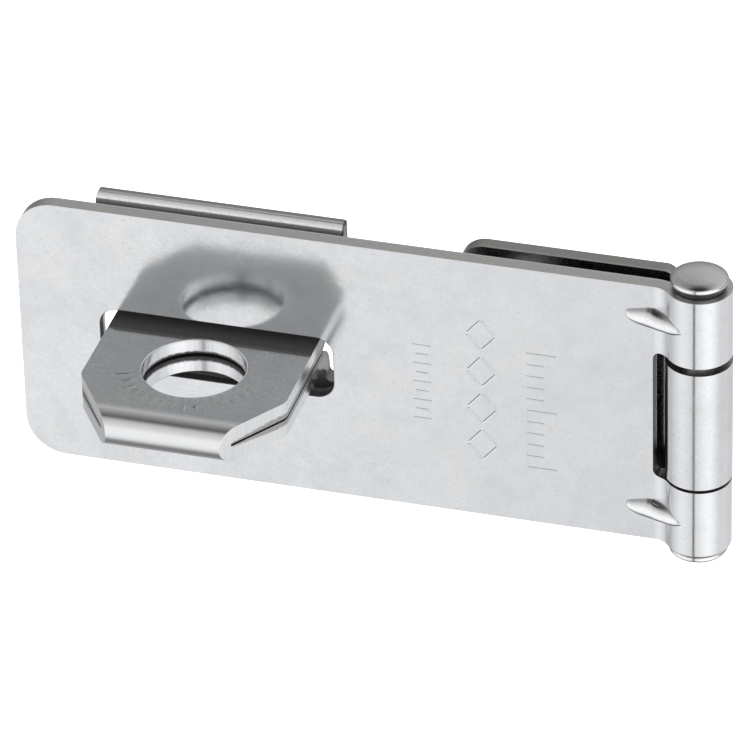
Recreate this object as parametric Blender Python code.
"""Hasp and staple: a sheet-steel hasp leaf hinged on a pin to a short fixed
leaf, and a folded one-piece staple whose lug stands out through the slot.

Frame: +Z up along the hinge pin, +X towards the hinge, -Y towards the front.
Y = 0 is the plane of the door or frame that both fixed pieces are screwed to.
The origin lies on that plane, on the hinge leaf's back, at half height and
PIN_X to the left of the pin axis.
Dimensions are in millimetres, with x counted from the pin axis; the model is
in metres.
"""
import math

import bpy
import bmesh
from mathutils import Matrix, Vector

MM = 0.001

# ---- shared -------------------------------------------------------------
SHEET = 2.0                     # sheet thickness of both leaves
LEAF_HEIGHT = 38.6              # size of both leaves along the pin
SCREW_RADIUS = 2.3
SCREW_SINK_RADIUS = 4.2         # countersink at the front face
BEND_STEPS = 12
FOLD_STEPS = 24
ROLL_STEPS = 40
CUT_MARGIN = 3.0                # how far cutting tools reach past an edge
CUT_END_X = 9.0                 # right end of the cuts through the knuckles
KNUCKLE_CUT_Y = (-12.0, 2.0)    # passes through the whole knuckle

# ---- pin and knuckles ---------------------------------------------------
OUTER_KNUCKLE_RADIUS = 4.30     # rolled from the hasp leaf
MIDDLE_KNUCKLE_RADIUS = 4.35    # rolled from the hinge leaf
PIN_X = 21.5                    # from the origin to the pin axis
PIN_Y = -MIDDLE_KNUCKLE_RADIUS  # the middle knuckle is tangent to Y = 0
PIN_ORIGIN = (PIN_X, PIN_Y, 0.0)
PIN_RADIUS = 2.26
PIN_STEPS = 64
PIN_TOP_Z, PIN_BOTTOM_Z = 20.94, -20.67
# (radius, z) from the domed head down to the rounded lower end
PIN_PROFILE = [
    (1.0, 20.93), (2.0, 20.88), (2.90, 20.78), (3.52, 20.64), (3.72, 20.48),
    (3.75, 20.28), (3.66, 20.10), (3.30, 19.80), (2.75, 19.5),
    (PIN_RADIUS, 19.5), (PIN_RADIUS, 19.0),
    (PIN_RADIUS, -19.0), (PIN_RADIUS, -19.5),
    (2.95, -19.5), (3.38, -19.72), (3.52, -20.0), (3.50, -20.28),
    (3.30, -20.50), (2.85, -20.62), (1.5, -20.66),
]

# ---- hasp leaf (the long swinging leaf) ---------------------------------
HASP_END_X = -90.7              # free end
HASP_FRONT_Y = -5.95            # front face
HASP_CORNER = 5.4               # radius of the two free corners
HASP_ROLL_END = 163.0           # degrees round the pin where the roll stops
HASP_CUT_Y = (-8.0, -2.0)       # passes through the flat of the leaf
SLOT_X = (-79.66, -48.16)
SLOT_HALF_HEIGHT = 4.5
SLOT_CORNER = 2.4
GAP_X = -5.64                   # left edge of the cut-out for the middle knuckle
GAP_TOP, GAP_BOTTOM = 9.48, -9.46
GAP_CORNER = 1.0

# The bend steps the leaf forward; its front arc is tangent to the flat at
# BEND_X and to the outer knuckles.
BEND_X = -5.6
STEP_DEPTH = PIN_Y - HASP_FRONT_Y
BEND_RADIUS = ((BEND_X ** 2 + STEP_DEPTH ** 2 - OUTER_KNUCKLE_RADIUS ** 2)
               / (2.0 * (OUTER_KNUCKLE_RADIUS - STEP_DEPTH)))
BEND_CENTRE_Y = HASP_FRONT_Y - BEND_RADIUS

RIB_Z = 14.6                    # the two stiffening ribs lie at +/- this height
RIB_WIDTH = 2.2
RIB_START_X, RIB_END_X = -9.4, -2.3
RIB_BOW = 0.10                  # forward bow of the ridge at mid length
RIB_LIFT = 0.02                 # ridge in front of the sheet at both ends
RIB_FOOT_DEPTH = 0.7            # foot behind the sheet's front face
RIB_START_WIDTH = 0.72          # width at the left end, as a share of RIB_WIDTH
RIB_WIDENING = 1.3              # a higher rate reaches full width sooner
RIB_ROUNDING = 0.8              # exponent of the section; 1 is an ellipse
RIB_STATIONS = 14
RIB_SECTION_STEPS = 12

# ---- hinge leaf (the short fixed leaf) ----------------------------------
HINGE_END_X = -32.3             # free end
HINGE_CORNER = 3.6
HINGE_STOP_X = -4.1             # where it ends beside the outer knuckles
HINGE_ROLL_END = 160.0          # degrees round the pin where the roll stops
HINGE_CUT_Y = (-4.0, 2.0)       # passes through the flat of the leaf
HINGE_SCREWS = [(-24.8, 11.6), (-24.8, -11.6), (-11.8, 0.0)]    # (x, z)
MIDDLE_TOP, MIDDLE_BOTTOM = 8.48, -8.96
ROLL_BULGE_MARGIN = 2.0         # the front cut reaches this far left of the stop
ROLL_CUT_Y = (-12.0, -SHEET - 0.2)      # stays in front of the flat of the leaf

# ---- staple -------------------------------------------------------------
STAPLE_X = -64.22               # middle of the staple
STAPLE_Z = 0.5                  # height of the lug's middle above the slot's
STAPLE_SHEET = 2.2
LAYER_HALF_GAP = 0.3            # half the slit between the two layers
LUG_HALF_THICKNESS = LAYER_HALF_GAP + STAPLE_SHEET
FLANGE_HALF_WIDTH = 16.7
FLANGE_HALF_HEIGHT = 18.8
FLANGE_CORNER = 0.9
FLANGE_CUT_Y = (-6.0, 2.0)      # passes through the flanges
FLANGE_BEND_RADIUS = 1.2        # inside radius between flange and lug
LUG_HALF_WIDTH = 13.9
LUG_CUT_Z = (-6.0, 6.0)         # passes through both layers of the lug
SHOULDER_Z = 4.2                # within +/- this the strip is as wide as the lug
NECK_FILLET = 1.0
FOLD_Y = -25.80                 # axis of the hairpin fold
FOLD_THINNING = 0.7             # the slit runs this much further into the fold
LUG_FRONT_Y = FOLD_Y - LUG_HALF_THICKNESS
CHAMFER_Y = -19.10              # where the lug's front corners start to slope in
CHAMFER_INSET = 6.0
HOLE_Y = -14.35                 # padlock hole
HOLE_RADIUS = 6.7
HOLE_STEPS = 64
# (x from the middle of the staple, z)
STAPLE_SCREWS = [(x, z) for z in (12.6, -12.6) for x in (-10.2, 10.2)]


# ---- outlines -----------------------------------------------------------
def arc(centre_u, centre_v, radius, start, end, steps):
    """Points of an arc from start to end, in degrees."""
    points = []
    for k in range(steps + 1):
        angle = math.radians(start + (end - start) * k / steps)
        points.append((centre_u + radius * math.cos(angle),
                       centre_v + radius * math.sin(angle)))
    return points


def arc_pairs(centre, first_radius, second_radius, start, end, steps):
    """Pairs of points on two concentric arcs, for a bend in a sheet."""
    return list(zip(arc(*centre, first_radius, start, end, steps),
                    arc(*centre, second_radius, start, end, steps)))


def circle(centre_u, centre_v, radius, steps):
    return arc(centre_u, centre_v, radius, 0, 360, steps)[:-1]


def rectangle(x0, x1, z0, z1):
    return [(x0, z0), (x1, z0), (x1, z1), (x0, z1)]


def rounded_box(x0, x1, z0, z1, radius, steps):
    return (arc(x1 - radius, z1 - radius, radius, 0, 90, steps)
            + arc(x0 + radius, z1 - radius, radius, 90, 180, steps)
            + arc(x0 + radius, z0 + radius, radius, 180, 270, steps)
            + arc(x1 - radius, z0 + radius, radius, 270, 360, steps))


def corner_waste(x, z, side_x, side_z, radius, steps):
    """Waste outside a rounded corner at (x, z); the sides, +1 or -1, point outwards."""
    # offsets from the corner, positive outwards
    offsets = arc(-radius, -radius, radius, 0, 90, steps)
    offsets += [(-radius, CUT_MARGIN), (CUT_MARGIN, CUT_MARGIN), (CUT_MARGIN, -radius)]
    return [(x + side_x * u, z + side_z * v) for u, v in offsets]


# Each of these places a point of an outline at a depth along the third axis.
def on_xz(point, depth):
    return (point[0], depth, point[1])


def on_xy(point, depth):
    return (point[0], point[1], depth)


def on_yz(point, depth):
    return (depth, point[0], point[1])


# ---- bodies -------------------------------------------------------------
def mesh_object(name, verts, faces):
    """Closed body from points in millimetres, faces turned outwards."""
    mesh = bpy.data.meshes.new(name)
    mesh.from_pydata([((x + PIN_X) * MM, y * MM, z * MM) for x, y, z in verts], [], faces)
    bm = bmesh.new()
    bm.from_mesh(mesh)
    bmesh.ops.remove_doubles(bm, verts=bm.verts, dist=1e-7)
    bmesh.ops.recalc_face_normals(bm, faces=bm.faces)
    bm.to_mesh(mesh)
    bm.free()
    body = bpy.data.objects.new(name, mesh)
    bpy.context.scene.collection.objects.link(body)
    return body


def strip(name, pairs, low, high, place):
    """A folded sheet: the section is given as pairs of points on its two
    faces, and is pushed from low to high along the third axis."""
    count = len(pairs)
    verts = [place(pair[side], depth)
             for depth in (low, high) for side in (0, 1) for pair in pairs]

    def at(level, side, i):
        return (level * 2 + side) * count + i

    faces = []
    for i in range(count - 1):
        for side in (0, 1):
            faces.append((at(0, side, i), at(0, side, i + 1),
                          at(1, side, i + 1), at(1, side, i)))
        for level in (0, 1):
            faces.append((at(level, 0, i), at(level, 0, i + 1),
                          at(level, 1, i + 1), at(level, 1, i)))
    for i in (0, count - 1):
        faces.append((at(0, 0, i), at(0, 1, i), at(1, 1, i), at(1, 0, i)))
    return mesh_object(name, verts, faces)


def ring_walls(rings):
    """Vertices and side faces that join a row of closed rings."""
    size = len(rings[0])
    verts = [point for ring in rings for point in ring]
    faces = []
    for i in range(len(rings) - 1):
        for k in range(size):
            after = (k + 1) % size
            faces.append((i * size + k, i * size + after,
                          (i + 1) * size + after, (i + 1) * size + k))
    return verts, faces


def loft(name, rings):
    """Body through a row of rings, closed by a flat face at each end."""
    verts, faces = ring_walls(rings)
    size = len(rings[0])
    faces.append(tuple(range(size)))
    faces.append(tuple(range(len(verts) - 1, len(verts) - size - 1, -1)))
    return mesh_object(name, verts, faces)


def combine(body, operation, tool):
    """Apply a boolean to the body and remove the tool."""
    mod = body.modifiers.new(operation.lower(), 'BOOLEAN')
    mod.operation = operation
    mod.solver = 'EXACT'
    mod.object = tool
    bpy.context.view_layer.update()
    graph = bpy.context.evaluated_depsgraph_get()
    result = bpy.data.meshes.new_from_object(body.evaluated_get(graph))
    body.modifiers.clear()
    old = body.data
    body.data = result
    bpy.data.meshes.remove(old)
    bpy.data.objects.remove(tool, do_unlink=True)


def cut_outline(body, name, outline, span, place):
    """Cut an outline through the body over a span of the third axis."""
    tool = loft(name, [[place(point, depth) for point in outline] for depth in span])
    combine(body, 'DIFFERENCE', tool)


def cut_screw_hole(body, x, z, front):
    """Countersunk hole from the sheet's front face through its back at Y = 0."""
    rim = 0.6           # the 45 degree cone starts this far in front of the sheet
    overrun = 1.0       # past the back face
    profile = [(SCREW_SINK_RADIUS + rim, front - rim),
               (SCREW_RADIUS, front + SCREW_SINK_RADIUS - SCREW_RADIUS),
               (SCREW_RADIUS, overrun)]
    rings = [[on_xz(point, y) for point in circle(x, z, radius, 40)]
             for radius, y in profile]
    combine(body, 'DIFFERENCE', loft("screw_hole", rings))


def finish(body, mat, origin=(0.0, 0.0, 0.0), sharp_angle=30.0):
    """Clean the mesh, shade it, and put the object's origin at a point in
    millimetres of the model's frame."""
    bm = bmesh.new()
    bm.from_mesh(body.data)
    bmesh.ops.remove_doubles(bm, verts=bm.verts, dist=2e-7)
    bmesh.ops.dissolve_degenerate(bm, edges=bm.edges, dist=1e-7)
    polygons = [face for face in bm.faces if len(face.verts) > 4]
    bmesh.ops.triangulate(bm, faces=polygons, ngon_method='EAR_CLIP')
    bmesh.ops.recalc_face_normals(bm, faces=bm.faces)
    bm.to_mesh(body.data)
    bm.free()
    body.data.materials.clear()
    body.data.materials.append(mat)
    body.data.shade_smooth()
    body.data.set_sharp_from_angle(angle=math.radians(sharp_angle))
    shift = Vector(origin) * MM
    body.data.transform(Matrix.Translation(-shift))
    body.location = shift


# ---- hasp leaf ----------------------------------------------------------
def hasp_section():
    """(front or outer, back or inner) points from the free end over the bend
    and round the knuckle."""
    centre = (BEND_X, BEND_CENTRE_Y)
    turn = math.degrees(math.atan2(-BEND_X, PIN_Y - BEND_CENTRE_Y))
    roll_start = math.degrees(math.atan2(BEND_CENTRE_Y - PIN_Y, BEND_X))
    end = [((HASP_END_X, HASP_FRONT_Y), (HASP_END_X, HASP_FRONT_Y + SHEET))]
    bend = arc_pairs(centre, BEND_RADIUS, BEND_RADIUS + SHEET, 90.0, 90.0 - turn, BEND_STEPS)
    roll = arc_pairs((0.0, PIN_Y), OUTER_KNUCKLE_RADIUS, OUTER_KNUCKLE_RADIUS - SHEET,
                     roll_start, HASP_ROLL_END, ROLL_STEPS)
    return end + bend + roll[1:]    # the roll starts on the bend's last pair


def hasp_surface_y(x):
    """Front surface of the leaf at x, over the flat, the bend and the knuckle."""
    if x <= BEND_X:
        return HASP_FRONT_Y
    touch_x = BEND_X * OUTER_KNUCKLE_RADIUS / (BEND_RADIUS + OUTER_KNUCKLE_RADIUS)
    if x <= touch_x:
        return BEND_CENTRE_Y + math.sqrt(BEND_RADIUS ** 2 - (x - BEND_X) ** 2)
    return PIN_Y - math.sqrt(OUTER_KNUCKLE_RADIUS ** 2 - x * x)


def rib(centre_z):
    """Pressed rib that bridges the bend: its slightly bowed ridge runs from
    the leaf to the knuckle, and its foot sits inside the sheet."""
    start_y, end_y = hasp_surface_y(RIB_START_X), hasp_surface_y(RIB_END_X)
    rings = []
    for s in range(RIB_STATIONS + 1):
        share = s / RIB_STATIONS
        x = RIB_START_X + (RIB_END_X - RIB_START_X) * share
        ridge = (start_y + (end_y - start_y) * share
                 - RIB_BOW * math.sin(math.pi * share) - RIB_LIFT)
        foot = hasp_surface_y(x) + RIB_FOOT_DEPTH
        widening = math.sin(math.pi * min(share * RIB_WIDENING, 0.5))
        half_width = 0.5 * RIB_WIDTH * (RIB_START_WIDTH + (1.0 - RIB_START_WIDTH) * widening)
        ring = []
        for k in range(RIB_SECTION_STEPS + 1):
            angle = math.pi * k / RIB_SECTION_STEPS
            ring.append((x, foot + (ridge - foot) * math.sin(angle) ** RIB_ROUNDING,
                         centre_z + half_width * math.cos(angle)))
        rings.append(ring)
    return loft("rib", rings)


def build_hasp_leaf(mat):
    half = LEAF_HEIGHT / 2.0
    leaf = strip("hasp_leaf", hasp_section(), -half, half, on_xy)
    for side in (1, -1):
        corner = corner_waste(HASP_END_X, side * half, -1, side, HASP_CORNER, steps=12)
        cut_outline(leaf, "corner_waste", corner, HASP_CUT_Y, on_xz)
    slot = rounded_box(*SLOT_X, -SLOT_HALF_HEIGHT, SLOT_HALF_HEIGHT, SLOT_CORNER, steps=10)
    cut_outline(leaf, "slot", slot, HASP_CUT_Y, on_xz)
    gap = rounded_box(GAP_X, CUT_END_X, GAP_BOTTOM, GAP_TOP, GAP_CORNER, steps=6)
    cut_outline(leaf, "knuckle_gap", gap, KNUCKLE_CUT_Y, on_xz)
    for z in (RIB_Z, -RIB_Z):
        combine(leaf, 'UNION', rib(z))
    finish(leaf, mat, PIN_ORIGIN)


# ---- hinge leaf ---------------------------------------------------------
def build_hinge_leaf(mat):
    half = LEAF_HEIGHT / 2.0
    # (back or outer, front or inner) points; the roll leaves Y = 0 at 90 degrees
    # and turns forwards round the pin
    flat = [((x, 0.0), (x, -SHEET)) for x in (HINGE_END_X, HINGE_STOP_X)]
    roll = arc_pairs((0.0, PIN_Y), MIDDLE_KNUCKLE_RADIUS, MIDDLE_KNUCKLE_RADIUS - SHEET,
                     90.0, HINGE_ROLL_END - 360.0, ROLL_STEPS)
    leaf = strip("hinge_leaf", flat + roll, -half, half, on_xy)
    # clear the roll above and below the middle knuckle
    for near, far in ((MIDDLE_TOP, half + CUT_MARGIN), (MIDDLE_BOTTOM, -half - CUT_MARGIN)):
        notch = rectangle(HINGE_STOP_X, CUT_END_X, near, far)
        cut_outline(leaf, "notch", notch, KNUCKLE_CUT_Y, on_xz)
        # the rolled part bulges a little further left than the stop line
        wider = rectangle(HINGE_STOP_X - ROLL_BULGE_MARGIN, CUT_END_X, near, far)
        cut_outline(leaf, "notch", wider, ROLL_CUT_Y, on_xz)
    for side in (1, -1):
        corner = corner_waste(HINGE_END_X, side * half, -1, side, HINGE_CORNER, steps=12)
        cut_outline(leaf, "corner_waste", corner, HINGE_CUT_Y, on_xz)
    for x, z in HINGE_SCREWS:
        cut_screw_hole(leaf, x, z, -SHEET)
    finish(leaf, mat)


# ---- pin ----------------------------------------------------------------
def build_pin(mat):
    """Round body on the pin axis, closed by a fan to a tip at each end."""
    rings = [[on_xy(point, z) for point in circle(0.0, PIN_Y, radius, PIN_STEPS)]
             for radius, z in PIN_PROFILE]
    verts, faces = ring_walls(rings)
    top = len(verts)
    bottom = top + 1
    last_ring = top - PIN_STEPS
    verts += [(0.0, PIN_Y, PIN_TOP_Z), (0.0, PIN_Y, PIN_BOTTOM_Z)]
    for k in range(PIN_STEPS):
        after = (k + 1) % PIN_STEPS
        faces.append((top, k, after))
        faces.append((bottom, last_ring + after, last_ring + k))
    finish(mesh_object("hinge_pin", verts, faces), mat, PIN_ORIGIN, sharp_angle=40.0)


# ---- staple -------------------------------------------------------------
def staple_section():
    """(front or outer, back or inner) points, as (y, z), from the top of the
    upper flange over the lug and its fold to the foot of the lower flange."""
    inner, outer = FLANGE_BEND_RADIUS, FLANGE_BEND_RADIUS + STAPLE_SHEET
    bend_y = -outer
    bend_z = LUG_HALF_THICKNESS + inner
    top = [((-STAPLE_SHEET, FLANGE_HALF_HEIGHT), (0.0, FLANGE_HALF_HEIGHT))]
    upper_bend = arc_pairs((bend_y, bend_z), inner, outer, 0.0, -90.0, BEND_STEPS)
    fold = list(zip(
        arc(FOLD_Y, 0.0, LUG_HALF_THICKNESS, 90.0, 270.0, FOLD_STEPS),
        arc(FOLD_Y - FOLD_THINNING, 0.0, LAYER_HALF_GAP, 90.0, 270.0, FOLD_STEPS)))
    lower_bend = arc_pairs((bend_y, -bend_z), inner, outer, 90.0, 0.0, BEND_STEPS)
    foot = [((-STAPLE_SHEET, -FLANGE_HALF_HEIGHT), (0.0, -FLANGE_HALF_HEIGHT))]
    return top + upper_bend + fold + lower_bend + foot


def neck_waste():
    """Waste beside the lug and its neck on the +X side, filleted at the neck."""
    fillet_x = LUG_HALF_WIDTH + NECK_FILLET
    fillet_z = SHOULDER_Z - NECK_FILLET
    edge = FLANGE_HALF_WIDTH + CUT_MARGIN
    return ([(edge, SHOULDER_Z)]
            + arc(fillet_x, fillet_z, NECK_FILLET, 90, 180, 8)
            + arc(fillet_x, -fillet_z, NECK_FILLET, 180, 270, 8)
            + [(edge, -SHOULDER_Z)])


def chamfer_waste():
    """Waste outside the sloping front corner of the lug on the +X side."""
    slope = CHAMFER_INSET / (CHAMFER_Y - LUG_FRONT_Y)
    edge = LUG_HALF_WIDTH + CUT_MARGIN
    front = LUG_FRONT_Y - CUT_MARGIN
    return [(edge, CHAMFER_Y + CUT_MARGIN / slope), (edge, front),
            (LUG_HALF_WIDTH - CHAMFER_INSET - CUT_MARGIN * slope, front)]


def build_staple(mat):
    staple = strip("staple", staple_section(), STAPLE_X - FLANGE_HALF_WIDTH,
                   STAPLE_X + FLANGE_HALF_WIDTH, on_yz)
    for side in (1, -1):
        neck = [(STAPLE_X + side * x, z) for x, z in neck_waste()]
        cut_outline(staple, "neck_waste", neck, (LUG_FRONT_Y - CUT_MARGIN, 2.0), on_xz)
        chamfer = [(STAPLE_X + side * x, y) for x, y in chamfer_waste()]
        cut_outline(staple, "chamfer_waste", chamfer, LUG_CUT_Z, on_xy)
        for up in (1, -1):
            corner = corner_waste(STAPLE_X + side * FLANGE_HALF_WIDTH,
                                  up * FLANGE_HALF_HEIGHT, side, up, FLANGE_CORNER, steps=8)
            cut_outline(staple, "corner_waste", corner, FLANGE_CUT_Y, on_xz)
    hole = circle(STAPLE_X, HOLE_Y, HOLE_RADIUS, HOLE_STEPS)
    cut_outline(staple, "padlock_hole", hole, LUG_CUT_Z, on_xy)
    for x, z in STAPLE_SCREWS:
        cut_screw_hole(staple, STAPLE_X + x, z, -STAPLE_SHEET)
    staple.data.transform(Matrix.Translation((0.0, 0.0, STAPLE_Z * MM)))
    finish(staple, mat)


# ---- scene --------------------------------------------------------------
def clear_scene():
    for ob in list(bpy.data.objects):
        bpy.data.objects.remove(ob, do_unlink=True)
    for blocks in (bpy.data.meshes, bpy.data.materials):
        for block in list(blocks):
            blocks.remove(block)


def metal(name, color, roughness):
    mat = bpy.data.materials.new(name)
    mat.use_nodes = True
    inputs = mat.node_tree.nodes["Principled BSDF"].inputs
    inputs["Base Color"].default_value = (*color, 1.0)
    inputs["Metallic"].default_value = 1.0
    inputs["Roughness"].default_value = roughness
    mat.diffuse_color = (*color, 1.0)
    return mat


clear_scene()
hasp_zinc = metal("zinc_plated_leaf", color=(0.78, 0.79, 0.80), roughness=0.30)
hinge_zinc = metal("zinc_plated_hinge_leaf", color=(0.74, 0.75, 0.76), roughness=0.34)
staple_steel = metal("hardened_staple_steel", color=(0.46, 0.47, 0.48), roughness=0.36)
pin_steel = metal("plated_pin_steel", color=(0.66, 0.67, 0.68), roughness=0.30)

build_hinge_leaf(hinge_zinc)
build_hasp_leaf(hasp_zinc)
build_pin(pin_steel)
build_staple(staple_steel)
